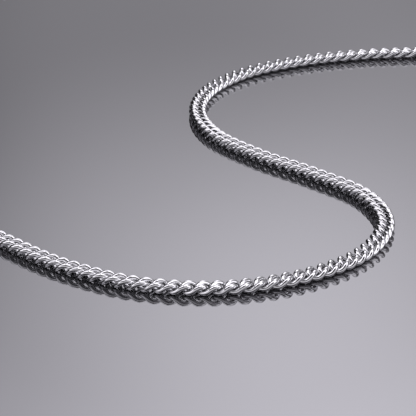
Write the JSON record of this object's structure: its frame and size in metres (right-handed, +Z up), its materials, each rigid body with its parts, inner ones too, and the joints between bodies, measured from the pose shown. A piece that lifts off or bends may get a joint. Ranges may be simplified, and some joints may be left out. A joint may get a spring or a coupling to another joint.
{
  "type": "curb chain necklace",
  "caption": "Polished steel curb chain necklace with a plain barrel clasp, fastened and lying flat in a winding loop.",
  "frame": {"origin": "on the surface that the necklace lies on, under the middle of its outline", "axes": "+Z up from the surface; +Y from the near bend towards the clasp at the back; +X to the right seen from the near side"},
  "size_m": [0.133, 0.1858, 0.0022],
  "materials": {
    "chain": "polished bright steel",
    "clasp": "polished bright steel"
  },
  "bodies": {
    "root": {"curb_chain_left": "chain", "curb_chain_right": "chain", "clasp": "clasp"}
  },
  "joints": []
}
